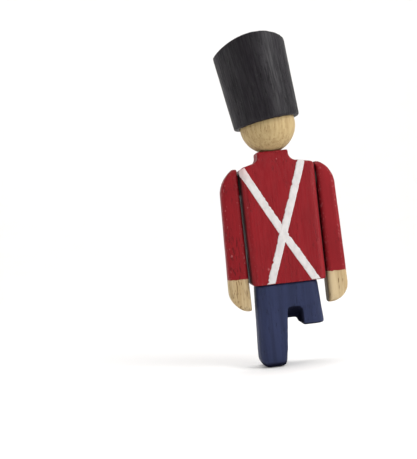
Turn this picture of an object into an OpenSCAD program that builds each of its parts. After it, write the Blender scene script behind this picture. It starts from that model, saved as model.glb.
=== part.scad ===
// Jointed guard figure in painted wood: a tall hat on a ball head, a tunic block with a
// stand-up collar, two arms on shoulder pins, and trousers with one full and one short leg.
// Millimetres. The sole lies on z = 0, the figure faces -Y and X runs to the viewer's right.

/* [Trousers] */
// Height of the trousers, from the sole to the hem of the tunic
trousers_h = 36.8; // [28:0.5:60]
// Width of the trousers at the hem
trousers_w = 28; // [24:0.2:32]
// Depth of the trousers, front to back
trousers_d = 14; // [12:0.5:30]
// Place of the middle of the trousers, off the middle of the tunic
trousers_x = -1; // [-2:0.1:2]
// Outward lean of the full leg's outer side, over its whole height
leg_flare = 1.6; // [0:0.1:4]
// Outward lean of the short leg's outer side, over its whole height
short_leg_flare = 1.3; // [0:0.1:4]
// Height of the crotch above the sole, at the front
crotch_z = 25.8; // [19:0.5:26]
// Fall of the crotch from the front to the back
crotch_fall = 6.6; // [0:0.1:7]
// Height of the short leg's end above the sole
short_leg_z = 17.4; // [8:0.5:18]
// From the trousers' middle to the full leg's inner side, at the crotch
leg_gap_crotch = 1; // [0.5:0.1:3]
// From the trousers' middle to the full leg's inner side, at the sole
leg_gap_sole = 3.6; // [0.5:0.1:6]
// From the trousers' middle to the short leg's inner side
short_leg_gap = 5; // [1:0.1:7]
// Radius of the trousers' upright outer edges
trousers_edge_r = 4.5; // [0.5:0.1:5]
// Radius of the sole's front and back edges
sole_edge_r = 3.2; // [0.3:0.1:4]
// Width of the slanted outer corner of the sole
sole_corner_w = 2.4; // [0.3:0.1:3]
// Height of the slanted outer corner of the sole
sole_corner_h = 3.4; // [0.3:0.1:4]

/* [Tunic] */
// Width of the tunic
tunic_w = 33.6; // [30:0.2:44]
// Depth of the tunic, front to back
tunic_d = 16; // [14.5:0.5:32]
// Height of the tunic, from the hem to the top of the collar
tunic_h = 58.8; // [50:0.5:80]
// Radius of the tunic's upright edges
tunic_edge_r = 3.2; // [0.5:0.1:7]
// Width of the slanted corners of the hem
hem_corner_w = 0.9; // [0.3:0.1:3]
// Height of the slanted corners of the hem
hem_corner_h = 1.3; // [0.3:0.1:4]
// Place of the middle of the neck and collar, off the middle of the tunic
neck_x = -1.2; // [-2:0.1:2]
// Width of the collar
collar_w = 14; // [11:0.2:18]
// Height of the collar above the point where the shoulder line meets it
collar_h = 4.5; // [2:0.1:8]
// Radius of the hollow curve between collar and shoulder
collar_hollow_r = 3.3; // [0.5:0.1:4.5]
// Slope of the shoulders, in degrees
shoulder_slope = 12; // [0:1:25]
// Width of the slanted ends of the shoulders
shoulder_end_w = 1.6; // [0.3:0.1:4]
// Height of the slanted ends of the shoulders
shoulder_end_h = 1; // [0.2:0.1:3]
// Height of the part of the tunic that leans in towards the collar
chest_lean_h = 15; // [6:0.5:16]
// Radius of the lean of the chest and the back
chest_lean_r = 42; // [36:1:80]

/* [Arms] */
// Gap between the tunic and each arm
arm_gap = 0.7; // [0.5:0.1:3]
// Width of an arm at its top
arm_top_w = 8.1; // [7.5:0.1:14]
// Width of an arm where the hand begins to curve in
arm_wrist_w = 9.3; // [7.5:0.1:14]
// Depth of an arm, front to back
arm_d = 10; // [9.5:0.1:20]
// Length of an arm, from its top to the tip of the hand
arm_l = 63.8; // [45:0.2:75]
// Drop of the top of the arms below the top of the collar
arm_drop = 6.2; // [5:0.1:12]
// Width of the arc at the outer top of an arm
arm_cap_w = 6; // [3:0.1:7]
// Height of the arc at the outer top of an arm
arm_cap_h = 12.5; // [8:0.1:20]
// Radius of the upright edges at the front of an arm
arm_edge_r = 2; // [0.3:0.1:3]
// Radius of the upright edges at the back of an arm
arm_back_r = 3.2; // [0.3:0.1:3.6]
// Drop of the shoulder pin below the top of an arm
arm_pin_drop = 7.5; // [6:0.1:12]
// Height over which the hand curves in to its tip
hand_curve_h = 9.7; // [8:0.1:16]
// Width of the flat at the tip of the hand
hand_tip_w = 1.9; // [1:0.1:4]
// Radius of the front and back of the tip of the hand
hand_tip_r = 4; // [0.5:0.1:4.5]

/* [Shoulder pins] */
// Diameter of a shoulder pin
pin_d = 5; // [4:0.1:7]
// Depth of a shoulder pin in its arm
pin_in_arm = 5; // [3:0.1:6]
// Depth of a shoulder pin in the tunic
pin_in_tunic = 13; // [6:0.5:14]
// Diameter of a shoulder washer
washer_d = 9; // [8:0.1:9.5]

/* [Head] */
// Diameter of the ball head
head_d = 25; // [22:0.2:32]
// Height of the ball's centre above the top of the collar
head_rise = 12; // [10.5:0.1:16]
// Diameter of the neck dowel
neck_d = 6; // [4:0.1:8]
// Depth of the neck dowel in the head
neck_in_head = 9; // [5:0.5:10]
// Depth of the neck dowel in the tunic, below the top of the collar
neck_in_tunic = 8.5; // [5:0.5:9]

/* [Hat] */
// Lean of the hat towards the viewer's left, in degrees
hat_lean = 8; // [0:1:15]
// Height of the hat's rim above the ball's centre
hat_rise = 1; // [0:0.1:4]
// Diameter of the hat at its rim
hat_rim_d = 30; // [28:0.2:40]
// Diameter of the hat at the top of its sides
hat_top_d = 32.8; // [28:0.2:44]
// Height of the hat's sides
hat_side_h = 34; // [24:0.2:60]
// Rise of the arched top above the sides
hat_arch_h = 3.6; // [0.5:0.1:8]
// Radius of the rim's rounded edge
hat_rim_r = 0.9; // [0.2:0.1:1.2]
// Diameter of the dowel between hat and head
hat_dowel_d = 6; // [4:0.1:8]
// Depth of that dowel in the head
hat_dowel_in_head = 7; // [4:0.5:8]
// Depth of that dowel in the hat
hat_dowel_in_hat = 8; // [4:0.5:14]

/* [Waist dowels] */
// Diameter of a waist dowel
waist_dowel_d = 6; // [4:0.1:7]
// From the trousers' middle to each waist dowel
waist_dowel_x = 7; // [5.5:0.1:8.5]
// Depth of the waist dowels in the trousers
waist_in_trousers = 8; // [4:0.5:8]
// Depth of the waist dowels in the tunic
waist_in_tunic = 11; // [5:0.5:20]

/* [Fits] */
// Clearance round a pin or dowel that turns, on the radius
turn_clear = 0.05; // [0.02:0.01:0.1]
// Clearance between the ball and its seat in the collar
seat_clear = 0.3; // [0.2:0.05:0.6]
// Clearance at the end or the face of a piece that turns
face_clear = 0.1; // [0.05:0.05:0.3]
// Room left at the end of a glued dowel
glue_room = 0.5; // [0.2:0.1:1]

/* [Hidden] */

$fn = 96;
// Share by which the collar's hollows cross the collar and the shoulders
hollow_over_share = 0.02;
// Share by which the arc at the top of an arm crosses its outer side
arm_arc_over_share = 0.008;
// Share by which an arm's side view is deeper than the arm, so that its arcs cross the faces
arm_side_over_share = 0.03;
// Overrun of cuts and blanks past the faces that they meet
cut_over = 1;

tunic_top = trousers_h + tunic_h;
shoulder_z = tunic_top - collar_h;
tunic_side_x = tunic_w / 2;
collar_x = collar_w / 2;

hollow_z = shoulder_z + collar_hollow_r * (1 / cos(shoulder_slope) - tan(shoulder_slope));
hollow_x = collar_x + collar_hollow_r;
shoulder_end_x = tunic_side_x - shoulder_end_w;
shoulder_end_z = shoulder_z - (shoulder_end_x - collar_x) * tan(shoulder_slope);

arm_in_x = tunic_side_x + arm_gap;
arm_top_z = tunic_top - arm_drop;
arm_tip_z = arm_top_z - arm_l;
arm_pin_z = arm_top_z - arm_pin_drop;
hand_z = arm_tip_z + hand_curve_h;
hand_curve_w = arm_wrist_w - hand_tip_w;
hand_curve_r = (hand_curve_w * hand_curve_w + hand_curve_h * hand_curve_h) / (2 * hand_curve_w);
arm_lean = atan((arm_wrist_w - arm_top_w) / (arm_top_z - hand_z));
arm_cap_z = arm_top_z - arm_cap_h;
arm_cap_r = (arm_cap_w * arm_cap_w + arm_cap_h * arm_cap_h) / (2 * arm_cap_w);

head_z = tunic_top + head_rise;
hat_slope = atan((hat_top_d - hat_rim_d) / 2 / hat_side_h);
hat_full_h = hat_side_h + hat_arch_h;
hat_arch_r = (hat_top_d * hat_top_d / 4 + hat_arch_h * hat_arch_h) / (2 * hat_arch_h);

leg_lean = atan(leg_flare / trousers_h);
short_leg_lean = atan(short_leg_flare / (trousers_h - short_leg_z));
crotch_lean = atan(crotch_fall / trousers_d);

function leg_in_x(z) = -leg_gap_sole + (leg_gap_sole - leg_gap_crotch) * z / crotch_z;

// Square with round corners, centred
module round_rect(w, d, r) {
    square([w - 2 * r, d], center = true);
    square([w, d - 2 * r], center = true);
    for (sx = [-1, 1], sy = [-1, 1])
        translate([sx * (w / 2 - r), sy * (d / 2 - r)])
            circle(r);
}

// The same with one radius for the corners at -y and one for those at +y
module front_back_rect(w, d, front_r, back_r) {
    translate([-w / 2, front_r - d / 2])
        square([w, d - front_r - back_r]);
    translate([front_r - w / 2, -d / 2])
        square([w - 2 * front_r, d / 2]);
    translate([back_r - w / 2, 0])
        square([w - 2 * back_r, d / 2]);
    for (s = [-1, 1]) {
        translate([s * (w / 2 - front_r), front_r - d / 2])
            circle(front_r);
        translate([s * (w / 2 - back_r), d / 2 - back_r])
            circle(back_r);
    }
}

// Raises a front view, drawn in x and z, through a depth
module front_view(d) {
    rotate([90, 0, 0])
        linear_extrude(d, center = true)
            children();
}

// Raises a side view, drawn in y and z, through a width
module side_view(w) {
    rotate([90, 0, 90])
        linear_extrude(w, center = true)
            children();
}

// Block of a plan whose +X side starts at x on height z and leans out downwards
module leaning_side(x, z, lean, reach, drop) {
    translate([x, 0, z])
        rotate([0, -lean, 0])
            translate([-reach / 2, 0, -drop])
                linear_extrude(drop + reach)
                    children();
}

// Places a piece at the head's centre, leaning with the hat
module at_hat() {
    translate([neck_x, 0, head_z])
        rotate([0, -hat_lean, 0])
            children();
}

// Cylinder along X between two places
module bar_x(d, x0, x1) {
    translate([x0, 0, 0])
        rotate([0, 90, 0])
            cylinder(d = d, h = x1 - x0);
}

// Front view of the tunic, with its sides, hem and collar left long: shoulders and hollow curves
module tunic_front() {
    long_x = tunic_side_x + cut_over;
    long_z = shoulder_end_z - shoulder_end_h * (long_x - shoulder_end_x) / shoulder_end_w;
    hem_slope = hem_corner_h / hem_corner_w;
    hem_x = tunic_side_x - hem_corner_w - cut_over / hem_slope;
    hem_z = trousers_h + hem_corner_h + cut_over * hem_slope;
    hollow_end_x = hollow_x - collar_hollow_r * sin(shoulder_slope);
    hollow_end_z = hollow_z - collar_hollow_r * cos(shoulder_slope);
    difference() {
        polygon([
            [-hem_x, trousers_h - cut_over],
            [hem_x, trousers_h - cut_over],
            [long_x, hem_z],
            [long_x, long_z],
            [shoulder_end_x, shoulder_end_z],
            [neck_x + hollow_end_x, hollow_end_z],
            [neck_x + collar_x, hollow_z],
            [neck_x + collar_x, tunic_top + cut_over],
            [neck_x - collar_x, tunic_top + cut_over],
            [neck_x - collar_x, hollow_z],
            [neck_x - hollow_end_x, hollow_end_z],
            [-shoulder_end_x, shoulder_end_z],
            [-long_x, long_z],
            [-long_x, hem_z]
        ]);
        for (s = [-1, 1])
            translate([neck_x + s * hollow_x, hollow_z])
                circle(collar_hollow_r * (1 + hollow_over_share));
    }
}

// Side view of the tunic: upright, then leaning in to the collar at front and back
module tunic_side() {
    lean_z = tunic_top - chest_lean_h;
    translate([-tunic_d / 2, trousers_h - cut_over])
        square([tunic_d, lean_z - trousers_h + cut_over]);
    intersection() {
        translate([tunic_d / 2 - chest_lean_r, lean_z])
            circle(chest_lean_r);
        translate([chest_lean_r - tunic_d / 2, lean_z])
            circle(chest_lean_r);
        translate([-tunic_d / 2, lean_z])
            square([tunic_d, chest_lean_h + cut_over]);
    }
}

module tunic() {
    color([0.56, 0.10, 0.13])
        difference() {
            intersection() {
                front_view(tunic_d + 2 * cut_over)
                    tunic_front();
                side_view(tunic_w + 2 * cut_over)
                    tunic_side();
                translate([0, 0, trousers_h])
                    linear_extrude(tunic_h)
                        round_rect(tunic_w, tunic_d, tunic_edge_r);
            }
            // hollow seat for the ball head
            translate([neck_x, 0, head_z])
                sphere(head_d / 2 + seat_clear);
            // bore for the neck dowel
            translate([neck_x, 0, tunic_top - neck_in_tunic - face_clear])
                cylinder(d = neck_d + 2 * turn_clear, h = neck_in_tunic + face_clear + cut_over);
            // bore across the shoulders for both pins
            translate([0, 0, arm_pin_z])
                bar_x(pin_d + 2 * turn_clear, -tunic_side_x - cut_over, tunic_side_x + cut_over);
            // bores for the waist dowels
            for (s = [-1, 1])
                translate([trousers_x + s * waist_dowel_x, 0, trousers_h - cut_over])
                    cylinder(d = waist_dowel_d, h = waist_in_tunic + glue_room + cut_over);
        }
}

// Front view of the trousers below the hem, with the sides left wide
module trousers_front() {
    leg_side_x = trousers_w / 2 + leg_flare + cut_over;
    short_leg_side_x = trousers_w / 2 + short_leg_flare + cut_over;
    corner_x = trousers_w / 2 + leg_flare - sole_corner_w;
    corner_end_z = sole_corner_h * (leg_side_x - corner_x) / sole_corner_w;
    polygon([
        [-leg_side_x, trousers_h],
        [short_leg_side_x, trousers_h],
        [short_leg_side_x, short_leg_z],
        [leg_in_x(short_leg_z), short_leg_z],
        [leg_in_x(0), 0],
        [-corner_x, 0],
        [-leg_side_x, corner_end_z]
    ]);
}

// Slot between the legs, whose ceiling falls towards the back
module leg_slot() {
    low_z = short_leg_z - cut_over;
    intersection() {
        front_view(trousers_d + 2 * cut_over)
            polygon([
                [leg_in_x(crotch_z), crotch_z],
                [short_leg_gap, crotch_z],
                [short_leg_gap, low_z],
                [leg_in_x(low_z), low_z]
            ]);
        translate([0, -trousers_d / 2, crotch_z])
            rotate([-crotch_lean, 0, 0])
                translate([-trousers_w, -trousers_d, -2 * crotch_z])
                    cube([2 * trousers_w, 3 * trousers_d, 2 * crotch_z]);
    }
}

module trousers() {
    color([0.17, 0.18, 0.30])
        translate([trousers_x, 0, 0])
            difference() {
                intersection() {
                    front_view(trousers_d + 2 * cut_over)
                        trousers_front();
                    mirror([1, 0, 0])
                        leaning_side(trousers_w / 2, trousers_h, leg_lean, 2 * trousers_w, 2 * trousers_h)
                            round_rect(2 * trousers_w, trousers_d, trousers_edge_r);
                    leaning_side(trousers_w / 2, trousers_h, short_leg_lean, 2 * trousers_w, 2 * trousers_h)
                        round_rect(2 * trousers_w, trousers_d, trousers_edge_r);
                    side_view(3 * trousers_w)
                        translate([0, trousers_h])
                            round_rect(trousers_d, 2 * trousers_h, sole_edge_r);
                }
                leg_slot();
                // bores for the waist dowels
                for (s = [-1, 1])
                    translate([s * waist_dowel_x, 0, trousers_h - waist_in_trousers - glue_room])
                        cylinder(d = waist_dowel_d, h = waist_in_trousers + glue_room + cut_over);
            }
}

module waist_dowels() {
    color([0.80, 0.66, 0.45])
        for (s = [-1, 1])
            translate([trousers_x + s * waist_dowel_x, 0, trousers_h - waist_in_trousers])
                cylinder(d = waist_dowel_d, h = waist_in_trousers + waist_in_tunic);
}

// Front view of the arm on the +X side, with its outer side left wide
module arm_front() {
    wide_x = arm_in_x + arm_wrist_w + cut_over;
    cap_side_x = arm_in_x + arm_top_w + arm_cap_h * tan(arm_lean);
    // sleeve
    translate([arm_in_x, hand_z])
        square([wide_x - arm_in_x, arm_cap_z - hand_z]);
    // arc at the top, which meets the leaning outer side
    intersection() {
        translate([arm_in_x, arm_cap_z])
            square([wide_x - arm_in_x, arm_cap_h]);
        translate([cap_side_x - arm_cap_r * (cos(arm_lean) - arm_arc_over_share),
                arm_cap_z - arm_cap_r * sin(arm_lean)])
            circle(arm_cap_r);
    }
    // hand that curves in to its tip
    intersection() {
        translate([arm_in_x, arm_tip_z])
            square([wide_x - arm_in_x, hand_curve_h]);
        translate([arm_in_x + arm_wrist_w - hand_curve_r, hand_z])
            circle(hand_curve_r);
    }
}

// Side view of an arm: round at the top, rounded at the tip of the hand
module arm_side() {
    side_d = arm_d * (1 + arm_side_over_share);
    round_z = arm_top_z - side_d / 2;
    translate([0, round_z])
        circle(side_d / 2);
    translate([-side_d / 2, arm_tip_z + hand_tip_r])
        square([side_d, round_z - arm_tip_z - hand_tip_r]);
    translate([0, arm_tip_z + side_d / 2])
        round_rect(side_d, side_d, hand_tip_r);
}

// Arm on the +X side
module arm() {
    arm_reach = 3 * arm_wrist_w;
    arm_mid_x = arm_in_x + arm_wrist_w / 2;
    difference() {
        intersection() {
            front_view(arm_d + 2 * cut_over)
                arm_front();
            translate([arm_mid_x, 0, 0])
                side_view(arm_reach)
                    arm_side();
            translate([arm_in_x + arm_reach / 2, 0, arm_tip_z - cut_over])
                linear_extrude(arm_l + 2 * cut_over)
                    front_back_rect(arm_reach, arm_d, arm_edge_r, arm_back_r);
            leaning_side(arm_in_x + arm_top_w, arm_top_z, arm_lean, arm_reach, 2 * arm_l)
                front_back_rect(arm_reach, arm_d, arm_edge_r, arm_back_r);
        }
        // blind bore for the shoulder pin
        translate([0, 0, arm_pin_z])
            bar_x(pin_d, arm_in_x - cut_over, arm_in_x + pin_in_arm);
    }
}

// Pin on the +X side, glued in the arm and turning in the tunic
module shoulder_pin() {
    translate([0, 0, arm_pin_z])
        bar_x(pin_d, tunic_side_x - pin_in_tunic, arm_in_x + pin_in_arm);
}

// Washer on the +X side, on the pin between tunic and arm
module shoulder_washer() {
    translate([0, 0, arm_pin_z])
        difference() {
            bar_x(washer_d, tunic_side_x + face_clear, arm_in_x);
            bar_x(pin_d, tunic_side_x - cut_over, arm_in_x + cut_over);
        }
}

module left_arm() {
    color([0.56, 0.10, 0.13])
        arm();
}

module right_arm() {
    color([0.56, 0.10, 0.13])
        mirror([1, 0, 0])
            arm();
}

module left_shoulder_pin() {
    color([0.80, 0.66, 0.45])
        shoulder_pin();
}

module right_shoulder_pin() {
    color([0.80, 0.66, 0.45])
        mirror([1, 0, 0])
            shoulder_pin();
}

module left_shoulder_washer() {
    color([0.16, 0.11, 0.09])
        shoulder_washer();
}

module right_shoulder_washer() {
    color([0.16, 0.11, 0.09])
        mirror([1, 0, 0])
            shoulder_washer();
}

module neck_dowel() {
    color([0.80, 0.66, 0.45])
        translate([neck_x, 0, tunic_top - neck_in_tunic])
            cylinder(d = neck_d, h = neck_in_tunic + head_rise - head_d / 2 + neck_in_head);
}

module head() {
    color([0.76, 0.64, 0.44])
        difference() {
            translate([neck_x, 0, head_z])
                sphere(head_d / 2);
            // bore for the neck dowel
            translate([neck_x, 0, head_z - head_d / 2 - cut_over])
                cylinder(d = neck_d, h = neck_in_head + glue_room + cut_over);
            // bore for the hat's dowel
            at_hat()
                translate([0, 0, head_d / 2 - hat_dowel_in_head - glue_room])
                    cylinder(d = hat_dowel_d, h = hat_dowel_in_head + glue_room + cut_over);
        }
}

// Half profile of the hat, from its axis outwards
module hat_profile() {
    round_x = hat_rim_d / 2 - hat_rim_r * (1 - sin(hat_slope)) / cos(hat_slope);
    polygon([
        [0, 0],
        [round_x, 0],
        [round_x + hat_rim_r * cos(hat_slope), hat_rim_r - hat_rim_r * sin(hat_slope)],
        [hat_rim_d / 2 + hat_full_h * tan(hat_slope), hat_full_h],
        [0, hat_full_h]
    ]);
    translate([round_x, hat_rim_r])
        circle(hat_rim_r);
}

module hat() {
    color([0.13, 0.125, 0.135])
        at_hat()
            difference() {
                translate([0, 0, hat_rise])
                    intersection() {
                        rotate_extrude()
                            hat_profile();
                        // arched top, running from front to back
                        translate([0, 0, hat_full_h - hat_arch_r])
                            rotate([90, 0, 0])
                                cylinder(r = hat_arch_r, h = 2 * hat_top_d, center = true);
                    }
                // hollow that fits the ball
                sphere(head_d / 2);
                translate([0, 0, head_d / 2 - cut_over])
                    cylinder(d = hat_dowel_d, h = hat_dowel_in_hat + glue_room + cut_over);
            }
}

module hat_dowel() {
    color([0.80, 0.66, 0.45])
        at_hat()
            translate([0, 0, head_d / 2 - hat_dowel_in_head])
                cylinder(d = hat_dowel_d, h = hat_dowel_in_head + hat_dowel_in_hat);
}

tunic();
trousers();
waist_dowels();
right_arm();
right_shoulder_pin();
right_shoulder_washer();
left_arm();
left_shoulder_pin();
left_shoulder_washer();
neck_dowel();
head();
hat();
hat_dowel();
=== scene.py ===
"""Looks of a jointed guard figure in painted wood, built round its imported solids."""
import math

import bmesh
import bpy
from bpy.props import FloatProperty, FloatVectorProperty, IntProperty, PointerProperty
from mathutils import Matrix, Vector, noise
from mathutils.bvhtree import BVHTree


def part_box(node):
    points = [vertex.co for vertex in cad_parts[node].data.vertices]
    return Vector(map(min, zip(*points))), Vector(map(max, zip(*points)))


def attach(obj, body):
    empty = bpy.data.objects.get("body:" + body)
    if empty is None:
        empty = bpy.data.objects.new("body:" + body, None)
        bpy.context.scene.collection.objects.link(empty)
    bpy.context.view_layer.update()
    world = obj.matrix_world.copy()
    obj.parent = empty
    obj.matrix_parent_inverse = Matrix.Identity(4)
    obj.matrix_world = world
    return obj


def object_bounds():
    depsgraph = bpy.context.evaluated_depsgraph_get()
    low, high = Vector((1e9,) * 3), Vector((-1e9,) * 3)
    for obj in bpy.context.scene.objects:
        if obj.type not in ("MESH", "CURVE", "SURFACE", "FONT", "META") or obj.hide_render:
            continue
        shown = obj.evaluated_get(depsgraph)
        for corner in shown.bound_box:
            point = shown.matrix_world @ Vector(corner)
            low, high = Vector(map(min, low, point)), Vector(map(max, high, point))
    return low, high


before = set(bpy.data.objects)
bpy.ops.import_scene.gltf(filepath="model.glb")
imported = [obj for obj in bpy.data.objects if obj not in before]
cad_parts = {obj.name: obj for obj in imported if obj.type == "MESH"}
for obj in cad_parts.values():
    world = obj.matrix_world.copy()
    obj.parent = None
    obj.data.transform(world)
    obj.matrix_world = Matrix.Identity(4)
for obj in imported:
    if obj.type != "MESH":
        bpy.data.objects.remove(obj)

bl_info = {
    "name": "Guard figure",
    "version": (1, 0, 0),
    "blender": (4, 5, 0),
    "location": "View3D > Sidebar > Guard",
    "description": "Finishes a jointed wooden guard figure and sets its stage",
    "category": "Object",
}

CAD_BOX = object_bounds()
MM = 0.001
TUNIC_LOW, TUNIC_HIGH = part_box("tunic")
ARMS = ("right_arm", "left_arm")
HIDDEN_DOWELS = ("waist_dowels", "neck_dowel", "hat_dowel", "right_shoulder_pin", "left_shoulder_pin")
WASHERS = ("right_shoulder_washer", "left_shoulder_washer")
# Linear colour of the painted shade in the gaps beside the arms, in the slot between the legs and under the
# trousers
PAINTED_SHADE_COLOUR = (0.005, 0.004, 0.005)
# Depths of the relief in millimetres
GRAIN_DEPTH = 0.09
HAT_GRAIN_DEPTH = 0.16
BRUSH_DEPTH = 0.06
LEATHER_DEPTH = 0.05
PAPER_DEPTH = 0.02
# Strength of the mirror reflection of plain paint and wood
PLAIN_GLOSS = 0.14
# How squarely a face looks sideways where the painted shade in the gaps beside the arms starts and where it
# is darkest
SQUARE_FROM, SQUARE_FULL = 0.75, 0.97


def shown_colour(red, green, blue):
    """A colour as a screen shows it, each part 0 to 255, in the linear values that shaders use."""
    def linear(part):
        part /= 255
        return part / 12.92 if part <= 0.04045 else ((part + 0.055) / 1.055) ** 2.4
    return tuple(linear(part) for part in (red, green, blue))


def scaled(colour, share, lift=0.0):
    """A linear colour made darker or lighter by a share, and paler by a lift."""
    return tuple(min(1.0, part * share + lift) for part in colour)


def colour_property(name, description, red, green, blue):
    """A setting for a colour, given as a screen shows it."""
    return FloatVectorProperty(
        name=name, description=description, subtype="COLOR", size=3, min=0, max=1,
        default=shown_colour(red, green, blue))


def length_property(name, description, millimetres):
    """A setting for a length in metres, given in millimetres."""
    return FloatProperty(
        name=name, description=description, unit="LENGTH", precision=5, default=millimetres * MM)


def place_property(name, description, place):
    """A setting for a place in metres."""
    return FloatVectorProperty(
        name=name, description=description, subtype="XYZ", unit="LENGTH", size=3, default=place)


def direction_property(name, description, direction):
    """A setting for a direction of any length."""
    return FloatVectorProperty(
        name=name, description=description, subtype="XYZ", size=3, default=direction)


def size_property(name, description, width, height):
    """A setting for the two sides of a light in metres."""
    return FloatVectorProperty(
        name=name, description=description, unit="LENGTH", size=2, default=(width, height))


def power_property(name, description, watts):
    """A setting for the power of a light."""
    return FloatProperty(name=name, description=description, unit="POWER", default=watts)


class GuardPaint(bpy.types.PropertyGroup):
    """Colours of the paint"""
    red: colour_property("Red", "Paint of the tunic and the sleeves", 126, 18, 26)
    navy: colour_property("Navy", "Paint of the trousers", 42, 49, 79)
    black: colour_property("Black", "Paint of the hat", 22, 18, 24)
    white: colour_property("White", "Paint of the crossed belts", 203, 200, 199)
    pink: colour_property("Pink", "Belt paint where the red shows through", 205, 160, 160)


class GuardWood(bpy.types.PropertyGroup):
    """Colours of the bare wood, the cuff line and the grain of the hat"""
    head: colour_property("Head oak", "Bare oak of the head", 174, 153, 111)
    head_dark: colour_property("Head streaks", "Darker streaks of the head's oak", 160, 137, 97)
    head_pore: colour_property("Head pores", "Pores of the head's oak", 136, 110, 76)
    oak: colour_property("Hand oak", "Bare oak of the hands", 190, 170, 134)
    oak_dark: colour_property("Hand streaks", "Darker streaks of the hands' oak", 166, 143, 105)
    oak_pore: colour_property("Hand pores", "Pores of the hands' oak", 98, 72, 42)
    beech: colour_property("Beech", "Dowels and pins", 208, 172, 126)
    beech_dark: colour_property("Beech streaks", "Darker streaks of the beech", 184, 142, 100)
    leather: colour_property("Leather", "Shoulder washers", 46, 34, 30)
    cuff: length_property("Cuff", "Height where the paint of the arms stops", 39.95)
    cuff_waver: length_property("Cuff waver", "Unevenness of the cuff line", 1.1)
    cuff_slope: FloatProperty(
        name="Cuff slope", description="Fall of the cuff line from the right arm to the left", default=0.017)
    hat_lean: FloatProperty(
        name="Hat lean", description="Lean of the hat's grain", subtype="ANGLE", default=math.radians(8))


class GuardShape(bpy.types.PropertyGroup):
    """How the edges of the wood are sanded"""
    pitch: length_property("Pitch", "Size of the faces of the finished wood", 0.42)
    passes: IntProperty(name="Sanding", description="Strokes of smoothing over rounded edges", default=7)
    crisp_passes: IntProperty(
        name="Crisp sanding", description="Strokes of smoothing over crisp edges", default=4)
    trousers_passes: IntProperty(
        name="Trousers sanding", description="Strokes of smoothing over the trousers", default=28)
    sole_passes: IntProperty(
        name="Sole sanding", description="Further strokes of smoothing over the foot", default=34)
    sole_height: length_property("Sole height", "Height up to which the foot is rounded further", 7)
    waver: length_property("Waver", "Unevenness of surfaces finished by hand", 0.16)
    waver_size: length_property("Waver size", "Distance between uneven places", 13)


class GuardBelts(bpy.types.PropertyGroup):
    """Crossed belts painted on the tunic"""
    width: length_property("Width", "Width of a belt", 3.4)
    under_paint: length_property("Under layer", "How far the right belt's paint stands proud", 0.1)
    over_paint: length_property("Upper layer", "How far the left belt's paint stands proud", 0.16)
    rough_edge: length_property("Rough edge", "Unevenness of the brushed edge", 0.62)
    clean_edge: length_property("Clean edge", "Unevenness of the other edge", 0.12)
    right_top: length_property("Right belt, top", "Place of the right shoulder's belt at its top", -16.8)
    right_hem: length_property("Right belt, hem", "Place of that belt at the hem", 11.9)
    right_bow: length_property("Right belt, bow", "How far its middle bends to the right arm", 0.5)
    left_top: length_property("Left belt, top", "Place of the left shoulder's belt at its top", 10.5)
    left_hem: length_property("Left belt, hem", "Place of that belt at the hem", -8.6)
    top: length_property("Top", "Height at which the places at the top are measured", 89.3)


class GuardStage(bpy.types.PropertyGroup):
    """Camera, lights and floor"""
    camera_place: place_property("Camera", "Place of the camera", (-0.0561, -0.3131, 0.06494))
    camera_aim: direction_property("Aim", "Direction in which the camera looks", (0.0745, 0.9972, -0.0032))
    camera_up: direction_property("Up", "Direction that is up in the picture", (0.1094, -0.005, 0.994))
    lens: FloatProperty(
        name="Lens", description="Focal length in millimetres", unit="CAMERA", default=55.06)
    key_place: place_property("Key light, place", "Place of the light on the right", (0.28, -0.23, 0.25))
    key_size: size_property("Key light, size", "Size of the light on the right", 0.22, 0.32)
    key_power: power_property("Key light, power", "Power of the light on the right", 1.6)
    side_place: place_property("Side light, place", "Place of the light on the left", (-0.45, -0.12, 0.26))
    side_size: size_property("Side light, size", "Size of the light on the left", 0.30, 0.45)
    side_power: power_property("Side light, power", "Power of the light on the left", 0.65)
    back_place: place_property("Back light, place", "Place of the light on the sweep", (0, 0.5, 2.2))
    back_aim: place_property("Back light, aim", "Place on the sweep that it lights", (0, 2.1, 0.3))
    back_size: size_property("Back light, size", "Size of the light on the sweep", 3.0, 1.2)
    back_power: power_property("Back light, power", "Power of the light on the sweep", 42)
    sky: FloatProperty(name="Sky", description="Strength of the surroundings", default=0.4)
    floor: colour_property("Floor", "Colour of the floor and the sweep round it", 248, 247, 246)
    floor_flat: length_property("Flat floor", "Radius of the flat part of the floor", 1300)
    floor_bend: length_property("Sweep", "Radius of the bend up to the wall", 1300)
    floor_wall: length_property("Wall", "Height of the top of the wall", 1600)


class GuardSettings(bpy.types.PropertyGroup):
    """Sizes and colours of the figure"""
    paint: PointerProperty(name="Paint", description="Colours of the paint", type=GuardPaint)
    wood: PointerProperty(name="Wood", description="Bare wood, cuffs and grain", type=GuardWood)
    shape: PointerProperty(name="Shape", description="How the wood is sanded", type=GuardShape)
    belts: PointerProperty(name="Belts", description="Crossed belts of paint", type=GuardBelts)
    stage: PointerProperty(name="Stage", description="Camera, lights and floor", type=GuardStage)


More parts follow.
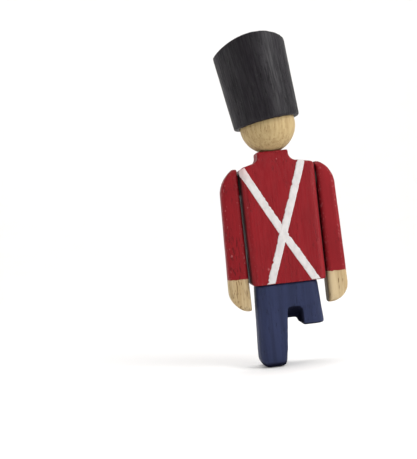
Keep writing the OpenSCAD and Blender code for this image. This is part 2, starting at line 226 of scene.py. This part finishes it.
class Finish:
    """One material and short ways to add nodes to it. A value is a number, a colour or a node's output."""
    SPECK_STRETCH = 1.3
    SPECK_BLUR = 1.5
    # Numbers of the mix node's sockets for colours
    MIX_FIRST, MIX_SECOND, MIX_RESULT = 6, 7, 2

    def __init__(self, name):
        self.material = bpy.data.materials.new(name)
        self.material.use_nodes = True
        self.tree = self.material.node_tree
        self.tree.nodes.clear()
        self.shader = self.add("ShaderNodeBsdfPrincipled")
        output = self.add("ShaderNodeOutputMaterial")
        self.tree.links.new(self.shader.outputs[0], output.inputs["Surface"])

    def add(self, kind, **settings):
        """A new node of a kind, with its settings."""
        node = self.tree.nodes.new(kind)
        for name, value in settings.items():
            setattr(node, name, value)
        return node

    def feed(self, socket, value):
        """Links a node's output to a socket, or sets a number or a colour on the socket itself."""
        if isinstance(value, bpy.types.NodeSocket):
            self.tree.links.new(value, socket)
        elif socket.type == "RGBA" and len(value) == 3:
            socket.default_value = (*value, 1)
        else:
            socket.default_value = value

    def along_grain(self, stretch, lean=0.0):
        """The piece's own place in millimetres, drawn out along the grain."""
        place = self.add("ShaderNodeTexCoord")
        turn = self.add("ShaderNodeMapping", vector_type="TEXTURE")
        turn.inputs["Rotation"].default_value = (0, -lean, 0)
        turn.inputs["Scale"].default_value = (MM, MM, MM * stretch)
        self.feed(turn.inputs["Vector"], place.outputs["Object"])
        return turn.outputs[0]

    def place(self):
        """The parts of the piece's own place, in millimetres."""
        parts = self.add("ShaderNodeSeparateXYZ")
        self.feed(parts.inputs[0], self.along_grain(1))
        return parts.outputs

    def facing(self):
        """The parts of the direction in which the surface of the piece faces."""
        parts = self.add("ShaderNodeSeparateXYZ")
        self.feed(parts.inputs[0], self.add("ShaderNodeTexCoord").outputs["Normal"])
        return parts.outputs

    def grain(self, stretch, scale, detail, roughness=0.5, lean=0.0):
        """Noise drawn out along the grain, with its scale in features a millimetre."""
        made = self.add("ShaderNodeTexNoise")
        self.feed(made.inputs["Vector"], self.along_grain(stretch, lean))
        made.inputs["Scale"].default_value = scale
        made.inputs["Detail"].default_value = detail
        made.inputs["Roughness"].default_value = roughness
        return made.outputs["Fac"]

    def span(self, value, low, high, to_low=0.0, to_high=1.0):
        """A value taken smoothly from the range low to high to another range."""
        made = self.add("ShaderNodeMapRange", interpolation_type="SMOOTHSTEP")
        for socket, part in zip(made.inputs, (value, low, high, to_low, to_high)):
            self.feed(socket, part)
        return made.outputs[0]

    def compute(self, operation, first, second=0.0):
        """One step of arithmetic, named as the node names it."""
        made = self.add("ShaderNodeMath", operation=operation)
        self.feed(made.inputs[0], first)
        self.feed(made.inputs[1], second)
        return made.outputs[0]

    def mix(self, share, first, second):
        """The first value with that share of the second in its place."""
        made = self.add("ShaderNodeMix", data_type="RGBA")
        self.feed(made.inputs["Factor"], share)
        self.feed(made.inputs[self.MIX_FIRST], first)
        self.feed(made.inputs[self.MIX_SECOND], second)
        return made.outputs[self.MIX_RESULT]

    def specks(self, scale, share, size):
        """Small round spots, in that share of the cells of a scattered grid."""
        cells = self.add("ShaderNodeTexVoronoi")
        self.feed(cells.inputs["Vector"], self.along_grain(self.SPECK_STRETCH))
        cells.inputs["Scale"].default_value = scale
        near = self.span(cells.outputs["Distance"], low=size * self.SPECK_BLUR, high=size)
        picks = self.add("ShaderNodeSeparateColor")
        self.feed(picks.inputs[0], cells.outputs["Color"])
        return self.compute("MULTIPLY", near, self.compute("LESS_THAN", picks.outputs[0], share))

    def edges(self, low, high):
        """Where the surface turns outwards, which is where paint wears first."""
        shape = self.add("ShaderNodeNewGeometry")
        return self.span(shape.outputs["Pointiness"], low, high)

    def done(self, colour, roughness, height, depth, gloss=PLAIN_GLOSS):
        """Joins the finish to the shader. The depth of its relief is in millimetres."""
        relief = self.add("ShaderNodeBump")
        relief.inputs["Distance"].default_value = depth * MM
        self.feed(relief.inputs["Height"], height)
        self.feed(self.shader.inputs["Base Color"], colour)
        self.feed(self.shader.inputs["Roughness"], roughness)
        self.feed(self.shader.inputs["Specular IOR Level"], gloss)
        self.feed(self.shader.inputs["Normal"], relief.outputs[0])
        return self.material


def paint_layers(finish, colour, lean=0.0, pores=0.6, specks=0.05, streaks=0.5, chips=0.08):
    """Colour, roughness and height of brushed paint over open-grained wood.

    Pores and streaks say how dark these are, specks how many there are, and chips how pale the edges wear.
    """
    speck_strength, fibre_height = 0.6, 0.5
    tone = finish.grain(stretch=2.5, scale=0.11, detail=3, lean=lean)
    fibre = finish.grain(stretch=16, scale=1.5, detail=4, roughness=0.6, lean=lean)
    brush = finish.grain(stretch=30, scale=0.5, detail=2, lean=lean)
    pore = finish.span(finish.grain(stretch=5, scale=1.7, detail=1, lean=lean), low=0.6, high=0.68)
    patch = finish.span(finish.grain(stretch=4, scale=0.14, detail=1, lean=lean), low=0.38, high=0.6)
    pore = finish.compute("MULTIPLY", pore, patch)
    speck = finish.specks(scale=0.33, share=specks, size=0.11)
    chip = finish.span(finish.grain(stretch=1.5, scale=1.2, detail=2, lean=lean), low=0.6, high=0.65)
    chip = finish.compute("MULTIPLY", chip, finish.edges(low=0.504, high=0.513))
    light = scaled(colour, share=1.08)
    calm = scaled(colour, share=0.9)
    dark = scaled(colour, share=0.66)
    deep = scaled(colour, share=0.3)
    pale = scaled(colour, share=1.4, lift=0.10)
    shade = finish.mix(finish.span(tone, low=0.3, high=0.7), calm, light)
    shade = finish.mix(finish.span(brush, low=0.35, high=0.7, to_high=streaks), shade, dark)
    shade = finish.mix(finish.span(fibre, low=0.5, high=0.75, to_high=streaks), shade, dark)
    shade = finish.mix(finish.compute("MULTIPLY", pore, pores), shade, deep)
    shade = finish.mix(finish.compute("MULTIPLY", chip, chips), shade, pale)
    shade = finish.mix(finish.compute("MULTIPLY", speck, speck_strength), shade, pale)
    roughness = finish.span(fibre, low=0.3, high=0.7, to_low=0.46, to_high=0.62)
    height = finish.compute("SUBTRACT", finish.compute("MULTIPLY", fibre, fibre_height), pore)
    return shade, roughness, height


def bare_layers(finish, light, dark, pore_colour, fineness=1.0):
    """Colour, roughness and height of bare open-grained wood."""
    pore_strength, fibre_height = 0.9, 0.4
    rings = finish.grain(stretch=14, scale=0.42 * fineness, detail=3, roughness=0.55)
    fibre = finish.grain(stretch=18, scale=1.9 * fineness, detail=4, roughness=0.6)
    pore = finish.span(finish.grain(stretch=6, scale=1.6 * fineness, detail=1), low=0.58, high=0.66)
    pore = finish.compute("MULTIPLY", pore, finish.span(rings, low=0.42, high=0.58))
    shade = finish.mix(finish.span(rings, low=0.36, high=0.66), light, dark)
    shade = finish.mix(finish.span(fibre, low=0.5, high=0.75, to_high=0.4), shade, dark)
    shade = finish.mix(finish.compute("MULTIPLY", pore, pore_strength), shade, pore_colour)
    roughness = finish.span(fibre, low=0.3, high=0.7, to_low=0.52, to_high=0.68)
    height = finish.compute("SUBTRACT", finish.compute("MULTIPLY", fibre, fibre_height), pore)
    return shade, roughness, height


def uneven_gloss(finish, roughness, smooth_gloss, rough_gloss):
    """Gloss of paint that shines more where it lies smooth."""
    return finish.span(roughness, low=0.48, high=0.6, to_low=smooth_gloss, to_high=rough_gloss)


def hat_paint(name, colour, lean):
    """Black paint, rather glossy, over wood with deep pores that lean with the hat."""
    finish = Finish(name)
    shade, roughness, height = paint_layers(finish, tuple(colour), lean=lean, pores=1.0, streaks=0.8)
    gloss = uneven_gloss(finish, roughness, smooth_gloss=0.28, rough_gloss=0.18)
    return finish.done(shade, roughness, height, HAT_GRAIN_DEPTH, gloss)


def tunic_paint(name, colour, arm_top):
    """Red paint with painted shade, near black, on the sides that lie in the gaps beside the arms, up to the
    top of the arms.
    """
    most_painted_shade, fade = 0.75, 3
    finish = Finish(name)
    shade, roughness, height = paint_layers(
        finish, tuple(colour), pores=0.35, specks=0.07, streaks=0.22, chips=0.25)
    # Painted shade: faces turned sideways, in the gaps beside the arms, are darkened below the top of the
    # arms
    sideways = finish.compute("ABSOLUTE", finish.facing()["X"])
    painted_shade = finish.span(sideways, low=SQUARE_FROM, high=SQUARE_FULL, to_high=most_painted_shade)
    below = finish.span(finish.place()["Z"], low=arm_top, high=arm_top - fade)
    painted_shade = finish.compute("MULTIPLY", painted_shade, below)
    gloss = uneven_gloss(finish, roughness, smooth_gloss=0.19, rough_gloss=0.13)
    return finish.done(finish.mix(painted_shade, shade, PAINTED_SHADE_COLOUR), roughness, height, GRAIN_DEPTH, gloss)


def trousers_paint(name, colour):
    """Navy paint with painted shade, dark and dull, under the trousers and in the slot between the legs."""
    most_painted_shade = 0.75
    finish = Finish(name)
    shade, roughness, height = paint_layers(finish, tuple(colour), pores=0.45, specks=0.0, streaks=0.75)
    # Painted shade: faces turned down and the inner face of the short leg are darkened and lose their gloss
    facing = finish.facing()
    under = finish.span(facing["Z"], low=-0.15, high=-0.6)
    beside = finish.span(facing["X"], low=-0.2, high=-0.7)
    beside = finish.compute("MULTIPLY", beside, finish.span(finish.place()["X"], low=0, high=1))
    painted_shade = finish.compute("MULTIPLY", finish.compute("MAXIMUM", under, beside), most_painted_shade)
    gloss = finish.span(painted_shade, low=0, high=most_painted_shade, to_low=PLAIN_GLOSS, to_high=0)
    return finish.done(finish.mix(painted_shade, shade, PAINTED_SHADE_COLOUR), roughness, height, GRAIN_DEPTH, gloss)


def bare_wood(name, light, dark, pore, fineness=1.0):
    """Bare wood, with a finer grain where the fineness is more than 1."""
    finish = Finish(name)
    return finish.done(*bare_layers(finish, tuple(light), tuple(dark), tuple(pore), fineness), GRAIN_DEPTH)


def sleeve_and_hand(name, paint, wood):
    """Red paint that stops at an uneven cuff line, with bare oak below it. The inner side facing the tunic
    is darkened with painted shade.
    """
    most_painted_shade, edge_blur = 0.5, 0.06
    finish = Finish(name)
    red = paint_layers(finish, tuple(paint.red), pores=0.7, specks=0.06, streaks=0.25, chips=0.4)
    oak = bare_layers(finish, tuple(wood.oak), tuple(wood.oak_dark), tuple(wood.oak_pore), fineness=1.25)
    place = finish.place()
    waver = wood.cuff_waver / MM
    uneven = finish.compute("MULTIPLY", finish.grain(stretch=1, scale=0.8, detail=3), waver)
    line = finish.compute("ADD", place["Z"], finish.compute("MULTIPLY", place["X"], wood.cuff_slope))
    line = finish.compute("ADD", line, uneven)
    cuff = wood.cuff / MM + waver / 2
    painted = finish.span(line, low=cuff - edge_blur, high=cuff + edge_blur)
    colour, roughness, height = (finish.mix(painted, bare, coated) for bare, coated in zip(oak, red))
    # Painted shade: the side facing the tunic is darkened where it lies in the gap
    inwards = finish.compute("MULTIPLY", finish.facing()["X"], finish.compute("SIGN", place["X"]))
    painted_shade = finish.span(inwards, low=-SQUARE_FROM, high=-SQUARE_FULL, to_high=most_painted_shade)
    return finish.done(finish.mix(painted_shade, colour, PAINTED_SHADE_COLOUR), roughness, height, GRAIN_DEPTH)


def belt_paint(name, paint, belts):
    """White paint laid on with a narrow brush, thin enough in places for the red to show."""
    shoulder_reach, shoulder_past, shoulder_wear = 9, 1, 0.55
    finish = Finish(name)
    streak = finish.grain(stretch=7, scale=1.2, detail=3, roughness=0.6)
    cloud = finish.grain(stretch=1.5, scale=0.5, detail=2)
    place = finish.place()
    top = belts.top / MM
    shoulder = finish.span(place["Z"], low=top - shoulder_reach, high=top + shoulder_past)
    right = finish.span(place["X"], low=-4, high=-10)
    thin = finish.compute("MULTIPLY", finish.compute("MULTIPLY", shoulder, right), shoulder_wear)
    thin = finish.compute("ADD", thin, finish.span(streak, low=0.52, high=0.8, to_high=0.35))
    white = tuple(paint.white)
    shade = finish.mix(finish.span(cloud, low=0.35, high=0.7), white, scaled(white, share=0.86))
    shade = finish.mix(thin, shade, tuple(paint.pink))
    roughness = finish.span(streak, low=0.3, high=0.7, to_low=0.5, to_high=0.66)
    return finish.done(shade, roughness, streak, BRUSH_DEPTH)


def leather(name, colour):
    """Dark leather with fine wrinkles."""
    finish = Finish(name)
    wrinkle = finish.grain(stretch=1, scale=2.4, detail=4, roughness=0.6)
    dark = scaled(colour, share=0.55)
    shade = finish.mix(finish.span(wrinkle, low=0.35, high=0.65), dark, tuple(colour))
    roughness = finish.span(wrinkle, low=0.3, high=0.7, to_low=0.6, to_high=0.8)
    return finish.done(shade, roughness, wrinkle, LEATHER_DEPTH)


def floor_paper(name, colour):
    """Pale matt paper that is slightly uneven in tone."""
    roughness = 0.8
    finish = Finish(name)
    tone = finish.grain(stretch=1, scale=0.02, detail=2)
    shade = finish.mix(tone, tuple(colour), scaled(colour, share=0.97))
    return finish.done(shade, roughness, tone, PAPER_DEPTH)


def dress(node, material):
    """Gives a node of the frame one material."""
    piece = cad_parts[node]
    piece.data.materials.clear()
    piece.data.materials.append(material)


def sand(node, shape, passes):
    """Closes a node's faces into an even mesh, rounds its edges and leaves it slightly uneven."""
    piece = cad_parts[node]
    close = piece.modifiers.new("even_mesh", "REMESH")
    close.mode = "VOXEL"
    close.voxel_size = shape.pitch
    close.use_smooth_shade = True
    edges = piece.modifiers.new("sanded_edges", "SMOOTH")
    edges.factor = 0.5
    edges.iterations = passes
    pattern = bpy.data.textures.new(node + "_waver", "CLOUDS")
    pattern.noise_scale = shape.waver_size
    pattern.noise_depth = 1
    uneven = piece.modifiers.new("hand_finish", "DISPLACE")
    uneven.texture = pattern
    uneven.texture_coords = "LOCAL"
    uneven.mid_level = 0.5
    uneven.strength = shape.waver
    return piece


def round_sole(piece, shape):
    """Rounds the corners of the foot further than the other edges."""
    tree = bpy.data.node_groups.new("rounded_sole", "GeometryNodeTree")
    for way in ("INPUT", "OUTPUT"):
        tree.interface.new_socket("Geometry", in_out=way, socket_type="NodeSocketGeometry")
    start = tree.nodes.new("NodeGroupInput")
    end = tree.nodes.new("NodeGroupOutput")
    place = tree.nodes.new("GeometryNodeInputPosition")
    parts = tree.nodes.new("ShaderNodeSeparateXYZ")
    near = tree.nodes.new("ShaderNodeMapRange")
    near.inputs["From Min"].default_value = shape.sole_height
    near.inputs["From Max"].default_value = shape.sole_height / 2
    blur = tree.nodes.new("GeometryNodeBlurAttribute")
    blur.data_type = "FLOAT_VECTOR"
    blur.inputs["Iterations"].default_value = shape.sole_passes
    move = tree.nodes.new("GeometryNodeSetPosition")
    blur_value = next(socket for socket in blur.inputs if socket.type == "VECTOR" and socket.enabled)
    blur_result = next(socket for socket in blur.outputs if socket.type == "VECTOR" and socket.enabled)
    for source, target in (
            (start.outputs[0], move.inputs["Geometry"]),
            (place.outputs[0], parts.inputs[0]),
            (parts.outputs["Z"], near.inputs["Value"]),
            (near.outputs[0], blur.inputs["Weight"]),
            (place.outputs[0], blur_value),
            (blur_result, move.inputs["Position"]),
            (move.outputs[0], end.inputs[0])):
        tree.links.new(source, target)
    piece.modifiers.new("rounded_sole", "NODES").node_group = tree


class GUARD_OT_tunic(bpy.types.Operator):
    """Sands the tunic block and paints it red"""
    bl_idname = "guard.tunic"
    bl_label = "Tunic"

    def execute(self, context):
        guard = context.scene.guard
        sand("tunic", guard.shape, guard.shape.crisp_passes)
        arm_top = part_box(ARMS[0])[1].z / MM
        dress("tunic", tunic_paint("tunic_red", guard.paint.red, arm_top))
        return {"FINISHED"}


class GUARD_OT_trousers(bpy.types.Operator):
    """Sands the trousers block and paints it navy"""
    bl_idname = "guard.trousers"
    bl_label = "Trousers"

    def execute(self, context):
        guard = context.scene.guard
        round_sole(sand("trousers", guard.shape, guard.shape.trousers_passes), guard.shape)
        dress("trousers", trousers_paint("trousers_navy", guard.paint.navy))
        return {"FINISHED"}


class GUARD_OT_arms(bpy.types.Operator):
    """Sands both arms, paints the sleeves red and leaves the hands bare"""
    bl_idname = "guard.arms"
    bl_label = "Arms"

    def execute(self, context):
        guard = context.scene.guard
        material = sleeve_and_hand("sleeve_and_hand", guard.paint, guard.wood)
        for arm in ARMS:
            sand(arm, guard.shape, guard.shape.passes)
            dress(arm, material)
        return {"FINISHED"}


class GUARD_OT_head(bpy.types.Operator):
    """Sands the ball head and leaves it as bare oak"""
    bl_idname = "guard.head"
    bl_label = "Head"

    def execute(self, context):
        guard = context.scene.guard
        wood = guard.wood
        sand("head", guard.shape, guard.shape.passes)
        dress("head", bare_wood("head_oak", wood.head, wood.head_dark, wood.head_pore, fineness=1.7))
        return {"FINISHED"}


class GUARD_OT_hat(bpy.types.Operator):
    """Sands the hat and paints it black"""
    bl_idname = "guard.hat"
    bl_label = "Hat"

    def execute(self, context):
        guard = context.scene.guard
        sand("hat", guard.shape, guard.shape.crisp_passes)
        dress("hat", hat_paint("hat_black", guard.paint.black, guard.wood.hat_lean))
        return {"FINISHED"}


class GUARD_OT_fixings(bpy.types.Operator):
    """Gives the dowels, pins and washers inside their beech and leather"""
    bl_idname = "guard.fixings"
    bl_label = "Dowels and washers"

    def execute(self, context):
        wood = context.scene.guard.wood
        beech = bare_wood("dowel_beech", wood.beech, wood.beech_dark, wood.oak_dark)
        for dowel in HIDDEN_DOWELS:
            dress(dowel, beech)
        material = leather("washer_leather", wood.leather)
        for washer in WASHERS:
            dress(washer, material)
        return {"FINISHED"}


class BeltPath:
    """Follows one belt over the tunic: up the front, over the shoulder and down the back."""
    FRONT_STEPS = 130
    TOP_STEPS = 36
    HALVINGS = 24
    # How far off the tunic a line towards it starts
    REACH = 60 * MM
    # How far below the tunic's top the edge of a shoulder is looked for
    SHOULDER_DEPTH = 20 * MM
    # How far the front and the back stop short of the shoulder's edge and of the hem
    SHOULDER_GAP = 0.7 * MM
    HEM_GAP = 0.35 * MM
    # How far the line over the shoulder is lifted before it is laid on the tunic, and how steeply it rises
    TOP_LIFT = Vector((0, 0, 2 * MM))
    TOP_RISE = 4

    def __init__(self, surface, top_x, hem_x, top_z, bow):
        self.surface = surface
        self.bow = bow
        self.hem_x = hem_x
        self.hem_z = TUNIC_LOW.z
        self.height = top_z - self.hem_z
        self.slope = (top_x - hem_x) / self.height
        # Distance along a level line for each distance across the belt
        self.level_share = math.hypot(self.slope, 1)

    def on_line(self, z, offset):
        """Place in the front view at a height, shifted across the belt."""
        share = (z - self.hem_z) / self.height
        bend = self.bow * math.sin(math.pi * min(1, max(0, share)))
        return self.hem_x + self.slope * (z - self.hem_z) + offset * self.level_share - bend, z

    def hit(self, x, z, side):
        """Where a line from the front (-1) or the back (1) first meets the tunic."""
        return self.surface.ray_cast(Vector((x, side * self.REACH, z)), Vector((0, -side, 0)))[0]

    def shoulder(self, offset, side):
        """Height at which the belt leaves the front or the back of the tunic."""
        low, high = TUNIC_HIGH.z - self.SHOULDER_DEPTH, TUNIC_HIGH.z
        for _ in range(self.HALVINGS):
            middle = (low + high) / 2
            if self.hit(*self.on_line(middle, offset), side) is None:
                high = middle
            else:
                low = middle
        return low

    def trace(self, offset):
        """Points along the belt at a distance from its middle, from the front hem to the back hem."""
        sides = []
        for side in (-1, 1):
            start = self.hem_z + self.HEM_GAP
            end = self.shoulder(offset, side) - self.SHOULDER_GAP
            heights = [start + (end - start) * i / self.FRONT_STEPS for i in range(self.FRONT_STEPS + 1)]
            sides.append([self.hit(*self.on_line(z, offset), side) for z in heights])
        front, back = sides
        over = []
        for i in range(1, self.TOP_STEPS):
            share = i / self.TOP_STEPS
            rise = min(1, self.TOP_RISE * share, self.TOP_RISE * (1 - share))
            chord = front[-1].lerp(back[-1], share) + self.TOP_LIFT * rise
            over.append(self.surface.find_nearest(chord)[0])
        return front + over + back[::-1]


def ragged(distance, seed, amount):
    """Unevenness of a brushed edge at a distance along it, with a few notches."""
    slow_share, quick_share, notch_share = 0.5, 0.45, 2.6
    notch_from = 0.18

    def wave(length, layer):
        return noise.noise(Vector((distance / length, seed, layer)))
    slow = wave(length=6 * MM, layer=0)
    quick = wave(length=1.1 * MM, layer=7)
    notch = max(0.0, wave(length=2.2 * MM, layer=19) - notch_from)
    return amount * (slow_share * slow + quick_share * quick - notch_share * notch)


def belt_mesh(name, path, belts, thickness, rough_side, seed):
    """A thin closed layer of paint along a belt's path, with one rough and one cleaner edge."""
    columns = 10
    wide = columns + 1
    other_seed = seed + 31
    edge_thickness = thickness * 0.35
    rooting = thickness * 2
    half = belts.width / 2
    middle = path.trace(0)
    distances = [0.0]
    for before, after in zip(middle, middle[1:]):
        distances.append(distances[-1] + (after - before).length)
    left_edge = belts.rough_edge if rough_side < 0 else belts.clean_edge
    right_edge = belts.rough_edge if rough_side > 0 else belts.clean_edge
    lines = [path.trace(half * (2 * i / columns - 1)) for i in range(wide)]
    mesh = bmesh.new()
    upper, lower = [], []
    for row, distance in enumerate(distances):
        low = -1 - ragged(distance, seed, left_edge) / half
        high = 1 + ragged(distance, other_seed, right_edge) / half
        for column in range(wide):
            share = low + (high - low) * column / columns
            spot = (share + 1) / 2 * columns
            first = max(0, min(columns - 1, math.floor(spot)))
            place = lines[first][row].lerp(lines[first + 1][row], spot - first)
            nearest, normal, _, _ = path.surface.find_nearest(place)
            proud = edge_thickness if column in (0, columns) else thickness
            upper.append(mesh.verts.new(nearest + normal * proud))
            lower.append(mesh.verts.new(nearest - normal * rooting))
    last_row = len(distances) - 1
    for row in range(last_row):
        for column in range(columns):
            i = row * wide + column
            mesh.faces.new((upper[i], upper[i + 1], upper[i + wide + 1], upper[i + wide]))
            mesh.faces.new((lower[i + wide], lower[i + wide + 1], lower[i + 1], lower[i]))
        for column, order in ((0, 1), (columns, -1)):
            i = row * wide + column
            ring = (upper[i], upper[i + wide], lower[i + wide], lower[i])
            mesh.faces.new(ring[::order])
    for row, order in ((0, -1), (last_row, 1)):
        for column in range(columns):
            i = row * wide + column
            ring = (upper[i], upper[i + 1], lower[i + 1], lower[i])
            mesh.faces.new(ring[::order])
    return smooth_mesh(name, mesh)


def smooth_mesh(name, mesh):
    """Ends the editing of a mesh, with its faces turned outwards and shaded smoothly."""
    bmesh.ops.recalc_face_normals(mesh, faces=mesh.faces)
    data = bpy.data.meshes.new(name)
    mesh.to_mesh(data)
    mesh.free()
    data.shade_smooth()
    return data


class GUARD_OT_belts(bpy.types.Operator):
    """Paints the crossed belts over the tunic's front, shoulders and back"""
    bl_idname = "guard.belts"
    bl_label = "Crossed belts"

    def execute(self, context):
        guard = context.scene.guard
        belts = guard.belts
        surface = BVHTree.FromObject(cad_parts["tunic"], context.evaluated_depsgraph_get())
        white = belt_paint("belt_white", guard.paint, belts)
        # Name, place at the top and at the hem, bow, thickness, side of the rough edge, seed of its notches
        plans = (
            ("right_belt", belts.right_top, belts.right_hem, belts.right_bow, belts.under_paint, 1, 3),
            ("left_belt", belts.left_top, belts.left_hem, 0.0, belts.over_paint, -1, 11),
        )
        for name, top, hem, bow, thickness, rough_side, seed in plans:
            path = BeltPath(surface, top, hem, belts.top, bow)
            data = belt_mesh(name, path, belts, thickness, rough_side, seed)
            belt = bpy.data.objects.new(name, data)
            data.materials.append(white)
            context.scene.collection.objects.link(belt)
            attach(belt, "body")
        return {"FINISHED"}


def area_light(name, place, aim, size, power):
    """A rectangular light that is turned to the place it aims at."""
    lamp = bpy.data.lights.new(name, "AREA")
    lamp.shape = "RECTANGLE"
    lamp.size, lamp.size_y = size
    lamp.energy = power
    light = bpy.data.objects.new(name, lamp)
    light.location = place
    light.rotation_mode = "QUATERNION"
    light.rotation_quaternion = (Vector(aim) - Vector(place)).to_track_quat("-Z", "Y")
    bpy.context.scene.collection.objects.link(light)


class GUARD_OT_stage(bpy.types.Operator):
    """Sets the floor, the white surroundings, the lights and the camera"""
    bl_idname = "guard.stage"
    bl_label = "Stage"

    def execute(self, context):
        scene = context.scene
        stage = scene.guard.stage
        self.floor(scene, stage)
        self.lights(scene, stage)
        self.camera(scene, stage)
        scene.view_settings.view_transform = "Standard"
        return {"FINISHED"}

    def floor(self, scene, stage):
        """A round floor that sweeps up into a low wall far from the figure."""
        bend_steps, sides = 24, 96
        profile = []
        for i in range(bend_steps + 1):
            angle = math.pi / 2 * i / bend_steps
            radius = stage.floor_flat + stage.floor_bend * math.sin(angle)
            profile.append((radius, stage.floor_bend * (1 - math.cos(angle))))
        profile.append((stage.floor_flat + stage.floor_bend, stage.floor_wall))
        turns = [2 * math.pi * i / sides for i in range(sides)]
        mesh = bmesh.new()
        rings = []
        for radius, z in profile:
            rings.append([mesh.verts.new((radius * math.cos(a), radius * math.sin(a), z)) for a in turns])
        mesh.faces.new(rings[0])
        for low, high in zip(rings, rings[1:]):
            for i in range(sides):
                j = (i + 1) % sides
                mesh.faces.new((low[j], low[i], high[i], high[j]))
        data = smooth_mesh("floor", mesh)
        floor = bpy.data.objects.new("floor", data)
        data.materials.append(floor_paper("floor_paper", stage.floor))
        scene.collection.objects.link(floor)

    def lights(self, scene, stage):
        """White surroundings, one light from each side in front and one on the sweep at the back."""
        world = bpy.data.worlds.new("studio")
        world.use_nodes = True
        background = world.node_tree.nodes["Background"]
        background.inputs["Color"].default_value = (1, 1, 1, 1)
        background.inputs["Strength"].default_value = stage.sky
        scene.world = world
        middle = (CAD_BOX[0] + CAD_BOX[1]) / 2
        area_light("key_light", stage.key_place, middle, stage.key_size, stage.key_power)
        area_light("side_light", stage.side_place, middle, stage.side_size, stage.side_power)
        area_light("back_light", stage.back_place, stage.back_aim, stage.back_size, stage.back_power)

    def camera(self, scene, stage):
        """A camera with its place, direction and tilt taken from the settings."""
        data = bpy.data.cameras.new("camera")
        data.lens = stage.lens
        camera = bpy.data.objects.new("camera", data)
        back = -Vector(stage.camera_aim).normalized()
        right = Vector(stage.camera_up).cross(back).normalized()
        up = back.cross(right)
        turn = Matrix((right, up, back)).transposed()
        camera.matrix_world = Matrix.Translation(stage.camera_place) @ turn.to_4x4()
        scene.collection.objects.link(camera)
        scene.camera = camera


OPERATORS = (
    GUARD_OT_tunic, GUARD_OT_trousers, GUARD_OT_arms, GUARD_OT_head, GUARD_OT_hat,
    GUARD_OT_fixings, GUARD_OT_belts, GUARD_OT_stage,
)


class GUARD_PT_panel(bpy.types.Panel):
    """Lists the steps that finish the figure"""
    bl_idname = "GUARD_PT_panel"
    bl_label = "Guard figure"
    bl_space_type = "VIEW_3D"
    bl_region_type = "UI"
    bl_category = "Guard"

    def draw(self, context):
        for operator in OPERATORS:
            self.layout.operator(operator.bl_idname)


CLASSES = (
    GuardPaint, GuardWood, GuardShape, GuardBelts, GuardStage, GuardSettings, *OPERATORS, GUARD_PT_panel,
)


def register():
    """Adds the settings, the operators and the panel."""
    for made in CLASSES:
        bpy.utils.register_class(made)
    bpy.types.Scene.guard = PointerProperty(
        name="Guard figure", description="Settings of the guard figure", type=GuardSettings)


def unregister():
    """Takes the settings, the operators and the panel away."""
    del bpy.types.Scene.guard
    for made in reversed(CLASSES):
        bpy.utils.unregister_class(made)


def main():
    """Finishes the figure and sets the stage."""
    register()
    bpy.ops.guard.tunic()
    bpy.ops.guard.trousers()
    bpy.ops.guard.arms()
    bpy.ops.guard.head()
    bpy.ops.guard.hat()
    bpy.ops.guard.fixings()
    bpy.ops.guard.belts()
    bpy.ops.guard.stage()


if __name__ == "__main__":
    main()
